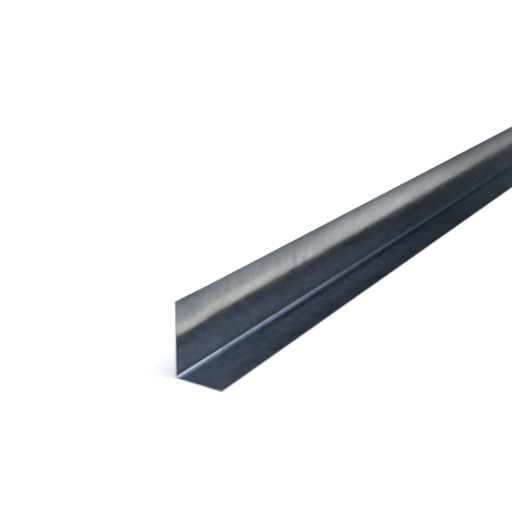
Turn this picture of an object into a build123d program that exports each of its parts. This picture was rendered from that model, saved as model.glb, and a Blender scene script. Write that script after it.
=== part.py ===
"""Wall angle trim: one strip of galvanised steel sheet, folded once along its length into an L.

Frame: +X runs along the stock, +Y is the side that goes against the wall and +Z is up. The origin is
at mid-length, midway between the wall face and the free edge of the base leg, on the level that the
base leg rests on. Everything is in millimetres.
"""
import os

from build123d import *

# Driving dimensions
WALL_LEG = 60.0  # height of the upright leg, measured over the outside of the fold
BASE_LEG = 40.0  # width of the leg that lies flat, measured over the outside of the fold
SHEET = 0.8  # thickness of the sheet, zinc included
FOLD_INSIDE_RADIUS = 2.0  # radius that the brake leaves in the inside corner
STOCK_LENGTH = 2000.0  # length that the angle is cut to
EDGE_ROLLOVER = 0.12  # the shears round off the rim of the face that they enter, the inside one

# Sizes that follow from them
FOLD_OUTSIDE_RADIUS = FOLD_INSIDE_RADIUS + SHEET
WALL_FACE_Y = BASE_LEG / 2
FREE_EDGE_Y = WALL_FACE_Y - BASE_LEG


def outside_line():
    """Outside of the section: along the underside, round the fold and up the wall face."""
    free_edge = (0, FREE_EDGE_Y, 0)
    heel = (0, WALL_FACE_Y, 0)
    top_edge = (0, WALL_FACE_Y, WALL_LEG)
    return FilletPolyline(free_edge, heel, top_edge, radius=FOLD_OUTSIDE_RADIUS)


def folded_strip():
    """The strip as the brake forms it, inwards from that line, centred on its length."""
    strip = make_brake_formed(SHEET, STOCK_LENGTH, outside_line(), side=Side.RIGHT)
    return Pos(X=-strip.bounding_box().center().X) * strip


def inside_rim(strip):
    """Edges all round the inside skin: the wall leg's, the fold's and the base leg's together."""
    wall_skin = strip.faces().filter_by(Axis.Y).sort_by(SortBy.AREA)[-2:].sort_by(Axis.Y)[0]
    base_skin = strip.faces().filter_by(Axis.Z).sort_by(SortBy.AREA)[-2:].sort_by(Axis.Z)[-1]
    fold_skin = strip.faces().filter_by(GeomType.CYLINDER).sort_by(SortBy.AREA)[0]
    skin_edges = wall_skin.edges() + fold_skin.edges() + base_skin.edges()
    # The two fold lines belong to two skins each, and the rim's own edges to one.
    return [edge for edge in skin_edges if skin_edges.count(edge) == 1]


def wall_angle():
    """The finished trim, with the rim of its inside skin rounded off by the shears."""
    strip = folded_strip()
    return fillet(inside_rim(strip), EDGE_ROLLOVER)


os.makedirs("parts", exist_ok=True)
angle = wall_angle()
angle.label = "wall_angle"
export_step(angle, "parts/wall_angle.step")
print(angle.bounding_box(), "volume", round(angle.volume, 1), "faces", len(angle.faces()))
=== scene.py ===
"""Looks of the wall angle trim: one folded strip of galvanised sheet, its finish, and a plain studio.

Everything is in metres in the part's own frame: +X runs along the stock, +Y is the side that goes
against the wall and +Z is up.
"""
import math

import bmesh
import bpy
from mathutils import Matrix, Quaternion, Vector, noise


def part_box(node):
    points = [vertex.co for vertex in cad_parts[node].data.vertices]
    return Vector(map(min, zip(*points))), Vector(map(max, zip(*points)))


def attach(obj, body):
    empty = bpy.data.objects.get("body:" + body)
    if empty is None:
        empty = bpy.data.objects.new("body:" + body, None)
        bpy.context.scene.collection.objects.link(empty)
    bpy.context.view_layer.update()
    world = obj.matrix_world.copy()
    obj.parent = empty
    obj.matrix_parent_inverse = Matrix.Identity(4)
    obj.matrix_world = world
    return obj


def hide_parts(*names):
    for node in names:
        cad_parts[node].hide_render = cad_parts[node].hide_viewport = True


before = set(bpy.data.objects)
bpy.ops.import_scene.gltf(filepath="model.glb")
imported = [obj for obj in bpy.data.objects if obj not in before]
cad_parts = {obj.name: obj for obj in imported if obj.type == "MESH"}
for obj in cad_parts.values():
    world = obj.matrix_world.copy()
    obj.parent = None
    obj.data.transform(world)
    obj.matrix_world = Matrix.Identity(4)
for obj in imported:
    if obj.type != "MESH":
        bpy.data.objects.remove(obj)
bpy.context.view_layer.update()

# The strip. Its legs and its length come from the frame, and these are what a box can't say.
LOW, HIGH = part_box("wall_angle")
SHEET = 0.0008
FOLD_INSIDE_RADIUS = 0.002
EDGE_ROLLOVER = 0.00012
FOLD_OUTSIDE_RADIUS = FOLD_INSIDE_RADIUS + SHEET
FOLD_AXIS_Y = HIGH.y - FOLD_OUTSIDE_RADIUS
FOLD_AXIS_Z = LOW.z + FOLD_OUTSIDE_RADIUS
LENGTH = HIGH.x - LOW.x
BASE_FLAT = FOLD_AXIS_Y - LOW.y
WALL_FLAT = HIGH.z - FOLD_AXIS_Z
FOLD_ARC = FOLD_OUTSIDE_RADIUS * math.pi / 2
STRIP_WIDTH = BASE_FLAT + FOLD_ARC + WALL_FLAT

# How finely the strip is divided: short steps at the near end, where its dents are, then longer ones
NEAR_STRETCH = 0.4
NEAR_STEPS = 160
FAR_STEPS = 160
FOLD_STEPS = 12
LEG_STEPS = 12
ROLLOVER_STEPS = 3

# What handling and the brake did to the strip
LEAN = math.radians(1.0)  # the wall leg is closed by this much past square
LEAN_AT_END = math.radians(0.3)
END_FLARE = 0.045  # the near end springs back square over this length
WAVE_LENGTH = 0.13
WAVE_DEPTH = 0.00008
CREASE_X = LOW.x + 0.172
CREASE_WIDTH = 0.008
CREASE_DEPTH = 0.00002

# Camera, measured from the bottom corner of the fold at the near end
CAMERA_BACK = 0.4852
CAMERA_ASIDE = 0.3607
CAMERA_HEIGHT = 0.2993
CAMERA_YAW = math.radians(31.20)
CAMERA_PITCH = math.radians(-18.78)
CAMERA_ROLL = math.radians(0.73)
LENS = 64.58

# Finish of the strip
UV_NAME = "strip"
COOL_ZINC = (0.556, 0.576, 0.572, 1)
WARM_ZINC = (0.585, 0.58, 0.553, 1)
RUBBED_ZINC = (0.72, 0.74, 0.76, 1)
GRIT_BROWN = (0.40, 0.35, 0.24, 1)
BRIGHT_STEEL = (0.66, 0.68, 0.70, 1)
DULL_STEEL = (0.50, 0.50, 0.50, 1)
ZINC_TONE = 0.76  # before the patterns lighten it
ZINC_ROUGHNESS = 0.075
STEEL_TONE = 0.85
STEEL_ROUGHNESS = 0.42
MEAN_SHADE = 0.5  # of the crystals
BRUSHING = 0.75  # how far the rolling draws reflections out along the stock
GRAIN_RELIEF = 0.0000013
SHOULDER_RELIEF = 0.0011
SHEAR_RELIEF = 0.000008

# Places on the strip. A mark has its distance along the stock, its height up the wall leg, its
# length, its width, and how much lighter it makes the zinc. The dent and the nick are painted shade
# at the crease, and the ridge is a painted highlight beside it
FOLD_ACROSS = BASE_FLAT + FOLD_ARC / 2
CREASE_ALONG = CREASE_X - LOW.x
DENT_PAINTED_SHADE = (CREASE_ALONG, 0.0385, 0.010, 0.026, -0.20)
NICK_PAINTED_SHADE = (CREASE_ALONG + 0.018, 0.0355, 0.008, 0.012, -0.14)
RIDGE_PAINTED_HIGHLIGHT = (CREASE_ALONG + 0.028, 0.042, 0.009, 0.016, 0.12)
PALE_CORNER = (0.008, 0.052, 0.075, 0.045, 0.16)
SCRATCHES = ((0.005, 0.0205), (0.016, 0.0215))  # along the stock, and height up the wall leg
SCRATCH_LENGTH = 0.002
SCRATCH_WIDTH = 0.0028

# Studio
PAPER = (0.965, 0.945, 0.915, 1)
PAPER_ROUGHNESS = 0.9
FLOOR_REACH = 30
CARD_LIFT = 0.0005  # how high the graded card lies over the floor
CARD_REACH = 25  # how far it goes on, outwards from the stock and past the far end
CARD_BEFORE = 1.5  # how far it starts before the near end
CARD_GRADING = 0.06  # the width, beside the stock, over which it is graded
CARD_LENGTH = 2.0  # the length, along the stock, over which it is graded
LIGHT_STRENGTH = 2.1
LIGHT_SOFTNESS = math.radians(50)
LIGHT_TILT = math.radians(8)


def link(obj):
    bpy.context.scene.collection.objects.link(obj)
    return obj


def mesh_from(name, bm):
    mesh = bpy.data.meshes.new(name)
    bm.to_mesh(mesh)
    bm.free()
    return mesh


def outside_section(bm):
    """Outer line of the section at the near end: the base leg, the fold and the wall leg."""
    axis = Vector((LOW.x, FOLD_AXIS_Y, FOLD_AXIS_Z))
    start = bm.verts.new(axis - Vector((0, 0, FOLD_OUTSIDE_RADIUS)))
    bmesh.ops.spin(
        bm, geom=[start], cent=axis, axis=(1, 0, 0), dvec=(0, 0, 0), angle=math.pi / 2,
        steps=FOLD_STEPS, use_merge=False, use_normal_flip=False, use_duplicate=False,
    )
    ends = [v for v in bm.verts if len(v.link_edges) == 1]
    legs = bmesh.ops.extrude_vert_indiv(bm, verts=sorted(ends, key=lambda v: v.co.z))
    base_tip, wall_tip = sorted(legs["verts"], key=lambda v: v.co.z)
    base_tip.co = (LOW.x, LOW.y, LOW.z)
    wall_tip.co = (LOW.x, HIGH.y, HIGH.z)
    bmesh.ops.subdivide_edges(bm, edges=legs["edges"], cuts=LEG_STEPS - 1)


def draw_out(bm, edges, length, steps):
    """Draws a chain of edges out along the stock, and gives back the chain at the end of the stretch."""
    made = bmesh.ops.extrude_edge_only(bm, edges=edges)["geom"]
    verts = [g for g in made if isinstance(g, bmesh.types.BMVert)]
    drawn = set(verts)
    bmesh.ops.translate(bm, vec=(length, 0, 0), verts=verts)
    end_x = max(v.co.x for v in verts)
    long_edges = [e for v in verts for e in v.link_edges if e.other_vert(v) not in drawn]
    bmesh.ops.subdivide_edges(bm, edges=long_edges, cuts=steps - 1, use_grid_fill=True)
    return [e for e in bm.edges if all(abs(v.co.x - end_x) < 1e-6 for v in e.verts)]


def across(point):
    """Distance across the flat strip, from the free edge of the base leg, of a point on its outer line."""
    if point.y < FOLD_AXIS_Y and point.z < FOLD_AXIS_Z:
        return point.y - LOW.y
    if point.z > FOLD_AXIS_Z:
        return up_wall(point.z - LOW.z)
    turn = math.atan2(point.y - FOLD_AXIS_Y, FOLD_AXIS_Z - point.z)
    return BASE_FLAT + FOLD_OUTSIDE_RADIUS * turn


def lay_out_uv(bm):
    """The strip's own map, in metres: U from the near end along the stock, V across the flat strip."""
    layer = bm.loops.layers.uv.new(UV_NAME)
    for face in bm.faces:
        for loop in face.loops:
            loop[layer].uv = (loop.vert.co.x - LOW.x, across(loop.vert.co))


def up_wall(height):
    """Distance across the flat strip of a point that is this high on the wall leg."""
    return BASE_FLAT + FOLD_ARC + height - FOLD_OUTSIDE_RADIUS


def ease(share):
    """Rises gently from 0 to 1 as the share does, and holds at both."""
    share = max(0.0, min(1.0, share))
    return share * share * (3 - 2 * share)


def spring_back(bm):
    """The small ways in which a folded strip isn't true: its lean, its long waves and one crease.

    The loose numbers in the noise only pick where the waves of each leg are read from it.
    """
    for vert in bm.verts:
        x, y, z = vert.co
        up = (z - LOW.z) / (HIGH.z - LOW.z)
        out = (HIGH.y - y) / (HIGH.y - LOW.y)
        lean = LEAN_AT_END + (LEAN - LEAN_AT_END) * ease((x - LOW.x) / END_FLARE)
        wall_wave = WAVE_DEPTH * noise.noise((x / WAVE_LENGTH, up, 3.7)) * up
        base_wave = WAVE_DEPTH * (1 + noise.noise((x / WAVE_LENGTH, 9.1, out))) * out
        crease = CREASE_DEPTH * math.exp(-(((x - CREASE_X) / CREASE_WIDTH) ** 2)) * ease(up * 1.6)
        vert.co.y = y - math.tan(lean) * (z - LOW.z) - WAVE_DEPTH * up + wall_wave + crease
        vert.co.z = z + base_wave * (1 - up)


def rim_of(face):
    """Whether a face is part of the sheared rim, and not of a skin of the sheet."""
    middle = face.calc_center_median()
    at_top = face.normal.z > 0.9 and middle.z > HIGH.z - SHEET
    at_tip = face.normal.y < -0.9 and middle.y < LOW.y + SHEET
    return abs(face.normal.x) > 0.9 or at_top or at_tip


def ease_rim(bm):
    """Rolls the inside of the rim over, as shears do, and leaves the outside sharp."""
    inwards = Vector((0, -1, 1))
    rim = [e for e in bm.edges if rim_of(e.link_faces[0]) != rim_of(e.link_faces[1])]
    rolled = [e for e in rim if sum((f.normal for f in e.link_faces), Vector()).dot(inwards) > 0.5]
    for edge in rim:
        edge.smooth = False
    made = bmesh.ops.bevel(
        bm, geom=rolled, offset=EDGE_ROLLOVER, offset_type="OFFSET", segments=ROLLOVER_STEPS,
        profile=0.5, affect="EDGES", material=-1, clamp_overlap=True,
    )
    bands = set(made["faces"])
    for face in bands:
        face.smooth = True
        for edge in face.edges:
            edge.smooth = all(f in bands for f in edge.link_faces)


def folded_sheet():
    bm = bmesh.new()
    outside_section(bm)
    middle = draw_out(bm, bm.edges[:], NEAR_STRETCH, NEAR_STEPS)
    draw_out(bm, middle, LENGTH - NEAR_STRETCH, FAR_STEPS)
    bmesh.ops.recalc_face_normals(bm, faces=bm.faces[:])
    lay_out_uv(bm)
    spring_back(bm)
    bmesh.ops.solidify(bm, geom=bm.faces[:], thickness=SHEET)
    bm.normal_update()
    for face in bm.faces:
        face.smooth = True
        face.material_index = 1 if rim_of(face) else 0
    ease_rim(bm)
    return mesh_from("wall_angle_sheet", bm)


def add(tree, kind, inputs=None, **settings):
    """New node with its settings and inputs. An input is a value, or the socket that feeds it."""
    node = tree.nodes.new("ShaderNode" + kind)
    for name, value in settings.items():
        setattr(node, name, value)
    for name, value in (inputs or {}).items():
        if isinstance(value, bpy.types.NodeSocket):
            tree.links.new(value, node.inputs[name])
        else:
            node.inputs[name].default_value = value
    return node


def maths(tree, operation, *values):
    return add(tree, "Math", dict(enumerate(values)), operation=operation).outputs[0]


def span(tree, value, start, end, low=0.0, high=1.0):
    """Eases from low to high as the value goes from start to end."""
    inputs = {"Value": value, "From Min": start, "From Max": end, "To Min": low, "To Max": high}
    return add(tree, "MapRange", inputs, interpolation_type="SMOOTHSTEP").outputs["Result"]


def mixed(tree, factor, first, second, mode="MIX"):
    """Two colours mixed. The node's sockets share their names, so here and below they go by number."""
    inputs = {0: factor, 6: first, 7: second}
    return add(tree, "Mix", inputs, data_type="RGBA", blend_type=mode).outputs[2]


def mixed_value(tree, factor, first, second):
    return add(tree, "Mix", {0: factor, 2: first, 3: second}, data_type="FLOAT").outputs[0]


def scaled(tree, vector, along, over):
    """The map's vector divided by a size along the stock and one across it."""
    size = add(tree, "CombineXYZ", {"X": along, "Y": over, "Z": 1.0}).outputs[0]
    return add(tree, "VectorMath", {0: vector, 1: size}, operation="DIVIDE").outputs[0]


def ramp_node(tree, value, stops):
    node = add(tree, "ValToRGB", {"Fac": value})
    elements = node.color_ramp.elements
    while len(elements) < len(stops):
        elements.new(0.5)
    for element, (place, colour) in zip(elements, stops):
        element.position = place
        element.color = (*colour, 1)
    return node.outputs["Color"]


def effect(name, inputs, outputs):
    """A node group with named sockets. Gives back the group, its inputs and its output node."""
    tree = bpy.data.node_groups.new(name, "ShaderNodeTree")
    for label, value in inputs.items():
        kind = "NodeSocketVector" if value is None else "NodeSocketFloat"
        socket = tree.interface.new_socket(label, in_out="INPUT", socket_type=kind)
        if value is not None:
            socket.default_value = value
    for label in outputs:
        tree.interface.new_socket(label, in_out="OUTPUT", socket_type="NodeSocketFloat")
    return tree, tree.nodes.new("NodeGroupInput").outputs, tree.nodes.new("NodeGroupOutput")


def rolling_grain():
    """Fine lines that run across the strip, because it was cut across the coil."""
    tree, given, result = effect(
        "rolling_grain", {"Vector": None, "Line Width": 0.001, "Line Length": 0.06}, ["Lines"]
    )
    place = scaled(tree, given["Vector"], given["Line Width"], given["Line Length"])
    lines = add(tree, "TexNoise", {"Vector": place, "Scale": 1.0, "Detail": 3.0, "Roughness": 0.6},
                noise_dimensions="2D")
    tree.links.new(lines.outputs[0], result.inputs["Lines"])
    return tree


def spangle():
    """Zinc crystals: each cell has its own shade."""
    tree, given, result = effect("spangle", {"Vector": None, "Crystal Size": 0.006}, ["Shade"])
    place = scaled(tree, given["Vector"], given["Crystal Size"], given["Crystal Size"])
    bend = add(tree, "TexNoise", {"Vector": place, "Scale": 1.7, "Detail": 2.0}, noise_dimensions="2D")
    nudged = add(tree, "VectorMath", {0: bend.outputs["Color"], 1: place}, operation="ADD").outputs[0]
    cells = add(tree, "TexVoronoi", {"Vector": nudged, "Scale": 1.0}, voronoi_dimensions="2D")
    shade = add(tree, "SeparateXYZ", {0: cells.outputs["Color"]}).outputs["X"]
    tree.links.new(shade, result.inputs["Shade"])
    return tree


def smudges():
    """Soft patches left by hands, oil and rain."""
    tree, given, result = effect(
        "smudges", {"Vector": None, "Patch Length": 0.05, "Patch Width": 0.03, "Cover": 0.5}, ["Mask"]
    )
    place = scaled(tree, given["Vector"], given["Patch Length"], given["Patch Width"])
    cloud = add(tree, "TexNoise", {"Vector": place, "Scale": 1.0, "Detail": 5.0, "Roughness": 0.55},
                noise_dimensions="2D")
    edge = maths(tree, "SUBTRACT", 0.72, maths(tree, "MULTIPLY", given["Cover"], 0.44))
    mask = span(tree, cloud.outputs[0], maths(tree, "SUBTRACT", edge, 0.12), maths(tree, "ADD", edge, 0.12))
    tree.links.new(mask, result.inputs["Mask"])
    return tree


def specks():
    """Tiny scattered spots of grit and white rust."""
    tree, given, result = effect(
        "specks", {"Vector": None, "Spacing": 0.003, "Spot Size": 0.2, "Share": 0.3}, ["Mask"]
    )
    place = scaled(tree, given["Vector"], given["Spacing"], given["Spacing"])
    cells = add(tree, "TexVoronoi", {"Vector": place, "Scale": 1.0}, voronoi_dimensions="2D")
    spot = span(tree, cells.outputs["Distance"], given["Spot Size"], 0.0)
    luck = add(tree, "SeparateXYZ", {0: cells.outputs["Color"]}).outputs["Y"]
    chosen = maths(tree, "LESS_THAN", luck, given["Share"])
    tree.links.new(maths(tree, "MULTIPLY", spot, chosen), result.inputs["Mask"])
    return tree


def rim_wear():
    """Rubbed zinc beside the rim of the strip, broken up so that it comes and goes."""
    tree, given, result = effect("rim_wear", {"Vector": None, "Width": 0.0008}, ["Mask"])
    split = add(tree, "SeparateXYZ", {0: given["Vector"]})
    along, over = split.outputs["X"], split.outputs["Y"]
    from_ends = maths(tree, "MINIMUM", along, maths(tree, "SUBTRACT", LENGTH, along))
    from_sides = maths(tree, "MINIMUM", over, maths(tree, "SUBTRACT", STRIP_WIDTH, over))
    distance = maths(tree, "MINIMUM", from_ends, from_sides)
    breaks = add(tree, "TexNoise", {"Vector": given["Vector"], "Scale": 160.0, "Detail": 3.0},
                 noise_dimensions="2D")
    reach = maths(tree, "MULTIPLY", given["Width"], maths(tree, "MULTIPLY", breaks.outputs[0], 2.0))
    tree.links.new(span(tree, distance, reach, 0.0), result.inputs["Mask"])
    return tree


def mark():
    """One small mark at a given place on the strip."""
    tree, given, result = effect(
        "mark", {"Vector": None, "Along": 0.0, "Across": 0.0, "Length": 0.001, "Width": 0.001}, ["Mask"]
    )
    centre = add(tree, "CombineXYZ", {"X": given["Along"], "Y": given["Across"]}).outputs[0]
    moved = add(tree, "VectorMath", {0: given["Vector"], 1: centre}, operation="SUBTRACT").outputs[0]
    place = scaled(tree, moved, given["Length"], given["Width"])
    distance = add(tree, "VectorMath", {0: place}, operation="LENGTH").outputs["Value"]
    tree.links.new(span(tree, distance, 0.6, 0.3), result.inputs["Mask"])
    return tree


def use_all(tree, group, vector, **values):
    """Places a group in a material with its own values, and gives back its outputs."""
    node = tree.nodes.new("ShaderNodeGroup")
    node.node_tree = group
    tree.links.new(vector, node.inputs["Vector"])
    for name, value in values.items():
        node.inputs[name.replace("_", " ")].default_value = value
    return node.outputs


def use(tree, group, vector, **values):
    """Places a group that has one output, and gives that back."""
    return use_all(tree, group, vector, **values)[0]


def weighted(tree, start, *terms):
    """A sum: the start value, and each mask times its weight."""
    total = start
    for mask, weight in terms:
        total = maths(tree, "MULTIPLY_ADD", mask, weight, total)
    return total


def fold_wear_and_painted_light():
    """How the strip wore at its fold and beside it, with painted shade and painted highlights on the fold
    and beside it.

    Bands are in metres across the strip from the middle of the fold, positive on the wall leg. Stretches
    are in metres along the strip from its near end. Most of the outputs are masks. Calm is the share of
    the grain's relief that is kept, and Shoulder is a height that softens the turn of the fold.
    """
    tree, given, result = effect("fold_wear_and_painted_light", {"Vector": None}, [
        "Bent", "Dull", "Painted Sheen", "Painted Corner Shade", "Pale Edge", "Smooth Top", "Painted Far Shade", "Painted Near Highlight", "Painted Low Highlight", "Shade",
        "Calm", "Shoulder",
    ])
    split = add(tree, "SeparateXYZ", {0: given["Vector"]})
    past_fold = maths(tree, "SUBTRACT", split.outputs["Y"], FOLD_ACROSS)
    from_fold = maths(tree, "ABSOLUTE", past_fold)

    def band(start, end, low=0.0, high=1.0):
        return span(tree, past_fold, start, end, low, high)

    def stretch(start, end, low=0.0, high=1.0):
        return span(tree, split.outputs["X"], start, end, low, high)

    def all_of(first, *others):
        for other in others:
            first = maths(tree, "MULTIPLY", first, other)
        return first

    # The fold itself, and where the jaws of the brake rubbed both legs dull
    bent = span(tree, from_fold, 0.005, 0.001)
    dull_base = all_of(band(-0.006, -0.014), band(-0.034, -0.022, 0.25, 1.0), 0.45)
    dull_wall = span(tree, from_fold, 0.024, 0.003)
    dull = mixed_value(tree, band(-0.001, 0.0035), dull_base, dull_wall)
    wear_and_painted_light = {"Bent": bent, "Dull": all_of(dull, stretch(0.50, 0.28, 0.35, 1.0))}

    # Painted sheen at the foot of the wall leg, painted shade on the base leg beside the fold, its paler
    # edge, and the wall leg's smooth top
    wear_and_painted_light["Painted Sheen"] = all_of(band(0.0016, 0.0030), band(0.016, 0.005))
    wear_and_painted_light["Painted Corner Shade"] = all_of(band(-0.0022, -0.0036), band(-0.013, -0.008), stretch(0.05, 0.16))
    wear_and_painted_light["Pale Edge"] = band(-0.022, -0.032)
    wear_and_painted_light["Smooth Top"] = band(0.036, 0.048, 0.0, 0.6)

    # On the fold: painted shade further along, a painted highlight at the near end and on its lower half,
    # and painted shade under that
    wear_and_painted_light["Painted Far Shade"] = all_of(bent, stretch(0.07, 0.34), band(-0.0012, 0.0012, 0.15, 1.0))
    wear_and_painted_light["Painted Near Highlight"] = all_of(bent, band(-0.0026, -0.0004), stretch(0.09, 0.0))
    wear_and_painted_light["Painted Low Highlight"] = all_of(band(0.0010, -0.0006), band(-0.0042, -0.0020), stretch(-0.10, 0.12))
    wear_and_painted_light["Shade"] = all_of(band(-0.0006, -0.0020), band(-0.0060, -0.0040), stretch(0.17, 0.07))

    wear_and_painted_light["Calm"] = all_of(span(tree, from_fold, 0.001, 0.006, 0.3, 1.0), stretch(0.25, 0.50, 1.0, 0.6))
    wear_and_painted_light["Shoulder"] = weighted(tree, 0.0, (band(0.0020, -0.0020), 1.0), (band(-0.0018, -0.0050), -0.35))
    for name, value in wear_and_painted_light.items():
        tree.links.new(value, result.inputs[name])
    return tree


GROUPS = {
    "grain": rolling_grain(), "spangle": spangle(), "smudges": smudges(), "specks": specks(),
    "rim": rim_wear(), "mark": mark(), "fold": fold_wear_and_painted_light(),
}


def metal(name):
    """A bare metal material, and the place on the strip that its patterns read."""
    material = bpy.data.materials.new(name)
    material.use_nodes = True
    tree = material.node_tree
    shader = tree.nodes["Principled BSDF"]
    shader.inputs["Metallic"].default_value = 1
    place = add(tree, "UVMap", uv_map=UV_NAME).outputs[0]
    return material, tree, shader, place


def finish_metal(tree, shader, colour, roughness, height, relief, form=None):
    """Gives a metal its colour, its roughness and its fine relief, over a larger form where it has one."""
    tree.links.new(colour, shader.inputs["Base Color"])
    tree.links.new(roughness, shader.inputs["Roughness"])
    bump = add(tree, "Bump", {"Height": height, "Strength": 1.0, "Distance": relief})
    if form:
        tree.links.new(form, bump.inputs["Normal"])
    tree.links.new(bump.outputs[0], shader.inputs["Normal"])


def zinc_coat():
    """Skin of the sheet: skin-passed zinc with faint crystals, grain lines, smudges and grit, and painted
    shade and painted highlights at the fold and at the crease.
    """
    material, tree, shader, place = metal("zinc_coat")
    shader.inputs["Anisotropic"].default_value = BRUSHING
    tangent = add(tree, "Tangent", direction_type="UV_MAP", uv_map=UV_NAME).outputs[0]
    tree.links.new(tangent, shader.inputs["Tangent"])
    fine = use(tree, GROUPS["grain"], place, Line_Width=0.0022, Line_Length=0.06)
    coarse = use(tree, GROUPS["grain"], place, Line_Width=0.007, Line_Length=0.16)
    crystals = use(tree, GROUPS["spangle"], place, Crystal_Size=0.0045)
    fold = use_all(tree, GROUPS["fold"], place)
    frost = use(tree, GROUPS["spangle"], place, Crystal_Size=0.0015)
    frost = mixed_value(tree, fold["Smooth Top"], frost, MEAN_SHADE)
    hands = use(tree, GROUPS["smudges"], place, Patch_Length=0.06, Patch_Width=0.02, Cover=0.45)
    mottle = use(tree, GROUPS["smudges"], place, Patch_Length=0.014, Patch_Width=0.010, Cover=0.5)
    rubbed = use(tree, GROUPS["rim"], place, Width=0.0007)
    grit = use(tree, GROUPS["specks"], place, Spacing=0.003, Spot_Size=0.4, Share=0.45)
    grit = maths(tree, "MULTIPLY", grit, maths(tree, "SUBTRACT", 1.0, fold["Bent"]))

    tone = weighted(tree, ZINC_TONE, (fine, 0.12), (coarse, 0.10), (crystals, 0.12), (frost, 0.145),
                    (hands, -0.05), (mottle, 0.06))
    # The dent and the nick paint shade at the crease, the ridge paints a highlight beside it
    for along, up, length, width, lighter in (DENT_PAINTED_SHADE, NICK_PAINTED_SHADE, RIDGE_PAINTED_HIGHLIGHT, PALE_CORNER):
        spot = use(tree, GROUPS["mark"], place, Along=along, Across=up_wall(up), Length=length, Width=width)
        tone = weighted(tree, tone, (spot, lighter))
    # Painted shade along the fold and beside it, painted highlights on the fold, and a painted sheen just
    # above it
    tone = weighted(tree, tone, (fold["Painted Far Shade"], -0.80), (fold["Painted Near Highlight"], 0.50), (fold["Painted Low Highlight"], 0.70),
                    (fold["Shade"], -0.5), (fold["Painted Sheen"], 0.32), (fold["Painted Corner Shade"], -0.30),
                    (fold["Pale Edge"], 0.28))
    zinc = mixed(tree, 1.0, mixed(tree, mottle, COOL_ZINC, WARM_ZINC), tone, "MULTIPLY")
    gritty = mixed(tree, maths(tree, "MULTIPLY", grit, 0.35), zinc, GRIT_BROWN)
    colour = mixed(tree, maths(tree, "MULTIPLY", rubbed, 0.5), gritty, RUBBED_ZINC)

    roughness = weighted(tree, ZINC_ROUGHNESS, (coarse, 0.01), (hands, 0.02), (mottle, 0.015),
                         (crystals, 0.01), (grit, 0.03), (rubbed, 0.12), (fold["Bent"], 0.03),
                         (fold["Dull"], 0.20))
    height = weighted(tree, 0.0, (fine, 1.0), (coarse, 1.2), (mottle, 0.6))
    height = maths(tree, "MULTIPLY", height, fold["Calm"])
    for along, up in SCRATCHES:
        scratch = use(tree, GROUPS["mark"], place, Along=along, Across=up_wall(up),
                      Length=SCRATCH_LENGTH, Width=SCRATCH_WIDTH)
        roughness = weighted(tree, roughness, (scratch, 0.2))
        height = weighted(tree, height, (scratch, 4.0))
    softened = add(tree, "Bump", {"Height": fold["Shoulder"], "Strength": 1.0, "Distance": SHOULDER_RELIEF})
    finish_metal(tree, shader, colour, roughness, height, GRAIN_RELIEF, softened.outputs[0])
    return material


def sheared_edge():
    """The cut through the sheet: bright steel with zinc dragged over it, striped by the shears."""
    material, tree, shader, place = metal("sheared_edge")
    stripes = use(tree, GROUPS["grain"], place, Line_Width=0.0006, Line_Length=0.1)
    dulled = use(tree, GROUPS["smudges"], place, Patch_Length=0.02, Patch_Width=0.02, Cover=0.4)
    tone = weighted(tree, STEEL_TONE, (stripes, 0.3))
    colour = mixed(tree, 1.0, mixed(tree, dulled, BRIGHT_STEEL, DULL_STEEL), tone, "MULTIPLY")
    roughness = weighted(tree, STEEL_ROUGHNESS, (stripes, 0.15), (dulled, 0.1))
    finish_metal(tree, shader, colour, roughness, stripes, SHEAR_RELIEF)
    return material


def paper(name):
    """A matt paper material, and its shader."""
    material = bpy.data.materials.new(name)
    material.use_nodes = True
    shader = material.node_tree.nodes["Principled BSDF"]
    shader.inputs["Roughness"].default_value = PAPER_ROUGHNESS
    return material, shader


def flat_stage(name, low, high, height, material):
    """A flat rectangle of the studio."""
    bm = bmesh.new()
    bmesh.ops.create_grid(bm, x_segments=1, y_segments=1, size=0.5)
    bmesh.ops.scale(bm, vec=(high[0] - low[0], high[1] - low[1], 1), verts=bm.verts[:])
    centre = ((low[0] + high[0]) / 2, (low[1] + high[1]) / 2, height)
    bmesh.ops.translate(bm, vec=centre, verts=bm.verts[:])
    obj = link(bpy.data.objects.new(name, mesh_from(name, bm)))
    obj.data.materials.append(material)
    return obj


def floor():
    material, shader = paper("paper")
    shader.inputs["Base Color"].default_value = PAPER
    flat_stage("floor", (-FLOOR_REACH, -FLOOR_REACH), (FLOOR_REACH, FLOOR_REACH), LOW.z, material)


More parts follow.
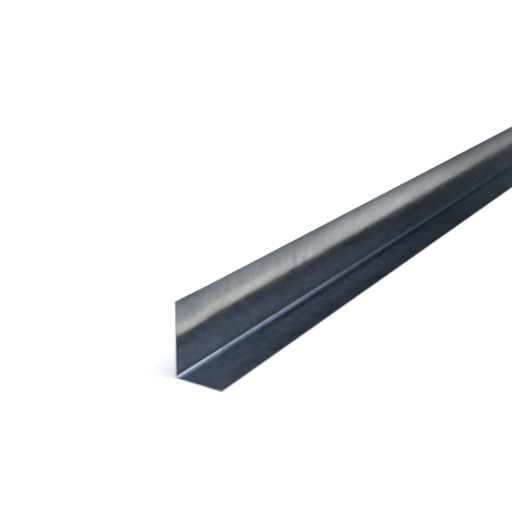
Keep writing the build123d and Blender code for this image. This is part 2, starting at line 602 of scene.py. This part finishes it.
def graded_card():
    """Grey paper beside the stock, which only reflections see: it grades what the wall leg mirrors."""
    material, shader = paper("graded_paper")
    tree = material.node_tree
    point = add(tree, "TexCoord").outputs["Object"]
    split = add(tree, "SeparateXYZ", {0: point})
    outwards = maths(tree, "SUBTRACT", LOW.y, split.outputs["Y"])
    onwards = maths(tree, "SUBTRACT", split.outputs["X"], LOW.x)
    reach = maths(tree, "DIVIDE", outwards, CARD_GRADING)
    near = ramp_node(tree, reach, (
        (0.00, (0.02, 0.03, 0.04)),
        (0.06, (0.03, 0.04, 0.05)),
        (0.11, (0.83, 0.79, 0.73)),
        (0.285, (0.83, 0.79, 0.73)),
        (0.335, (0.50, 0.52, 0.53)),
        (0.60, (0.34, 0.36, 0.37)),
        (0.70, (0.27, 0.29, 0.30)),
        (0.85, (0.14, 0.16, 0.17)),
    ))
    far = ramp_node(tree, reach, (
        (0.00, (0.02, 0.03, 0.04)),
        (0.045, (0.03, 0.04, 0.05)),
        (0.115, (0.92, 0.89, 0.85)),
        (0.33, (0.95, 0.92, 0.89)),
        (0.58, (0.53, 0.55, 0.57)),
        (0.68, (0.28, 0.30, 0.32)),
        (0.80, (0.12, 0.14, 0.16)),
    ))
    beside = mixed(tree, span(tree, onwards, 0.22, 0.40), near, far)
    along = ramp_node(tree, maths(tree, "DIVIDE", onwards, CARD_LENGTH), (
        (0.035, (0.70, 0.70, 0.70)),
        (0.07, (0.86, 0.86, 0.86)),
        (0.115, (0.93, 0.93, 0.93)),
        (0.165, (0.66, 0.66, 0.66)),
        (0.27, (0.69, 0.69, 0.70)),
        (0.35, (0.50, 0.50, 0.50)),
        (0.42, (0.355, 0.35, 0.35)),
        (0.90, (0.30, 0.31, 0.33)),
    ))
    tree.links.new(mixed(tree, 1.0, beside, along, "MULTIPLY"), shader.inputs["Base Color"])
    near_corner = (LOW.x - CARD_BEFORE, LOW.y - CARD_REACH)
    far_corner = (HIGH.x + CARD_REACH, LOW.y)
    card = flat_stage("card", near_corner, far_corner, LOW.z + CARD_LIFT, material)
    card.visible_camera = False
    card.visible_shadow = False
    card.visible_diffuse = False


def studio_sky():
    """A pale horizon, a dark room above it, then a blue band of soft light, a white one, and grey."""
    world = bpy.data.worlds.new("studio")
    bpy.context.scene.world = world
    world.use_nodes = True
    tree = world.node_tree
    direction = add(tree, "TexCoord").outputs["Generated"]
    height = add(tree, "SeparateXYZ", {0: direction}).outputs["Z"]
    colour = ramp_node(tree, height, (
        (0.000, (0.98, 1.00, 1.00)),
        (0.018, (0.98, 1.00, 1.00)),
        (0.045, (0.10, 0.12, 0.15)),
        (0.19, (0.10, 0.12, 0.15)),
        (0.24, (0.011, 0.022, 0.043)),
        (0.33, (0.021, 0.035, 0.056)),
        (0.39, (0.029, 0.043, 0.065)),
        (0.455, (0.13, 0.16, 0.22)),
        (0.50, (0.20, 0.29, 0.48)),
        (0.55, (0.32, 0.50, 0.92)),
        (0.64, (0.42, 0.60, 1.00)),
        (0.69, (0.78, 0.87, 1.00)),
        (0.78, (0.86, 0.93, 1.00)),
        (0.88, (0.60, 0.62, 0.65)),
        (1.00, (0.46, 0.48, 0.51)),
    ))
    tree.links.new(colour, tree.nodes["Background"].inputs["Color"])


def overhead_light():
    light = bpy.data.lights.new("overhead", "SUN")
    light.energy = LIGHT_STRENGTH
    light.angle = LIGHT_SOFTNESS
    lamp = link(bpy.data.objects.new("overhead", light))
    lamp.visible_glossy = False
    lamp.rotation_euler = (LIGHT_TILT, 0, 0)


def photo_camera():
    data = bpy.data.cameras.new("camera")
    data.lens = LENS
    camera = link(bpy.data.objects.new("camera", data))
    camera.location = (LOW.x - CAMERA_BACK, HIGH.y - CAMERA_ASIDE, LOW.z + CAMERA_HEIGHT)
    flat = math.cos(CAMERA_PITCH)
    look = Vector((flat * math.cos(CAMERA_YAW), flat * math.sin(CAMERA_YAW), math.sin(CAMERA_PITCH)))
    level = look.to_track_quat("-Z", "Y")
    camera.rotation_euler = (level @ Quaternion((0, 0, 1), CAMERA_ROLL)).to_euler()
    bpy.context.scene.camera = camera


sheet = link(bpy.data.objects.new("wall_angle_sheet", folded_sheet()))
sheet.data.materials.append(zinc_coat())
sheet.data.materials.append(sheared_edge())
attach(sheet, "root")
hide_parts("wall_angle")

floor()
graded_card()
studio_sky()
overhead_light()
photo_camera()
bpy.context.scene.view_settings.view_transform = "Standard"
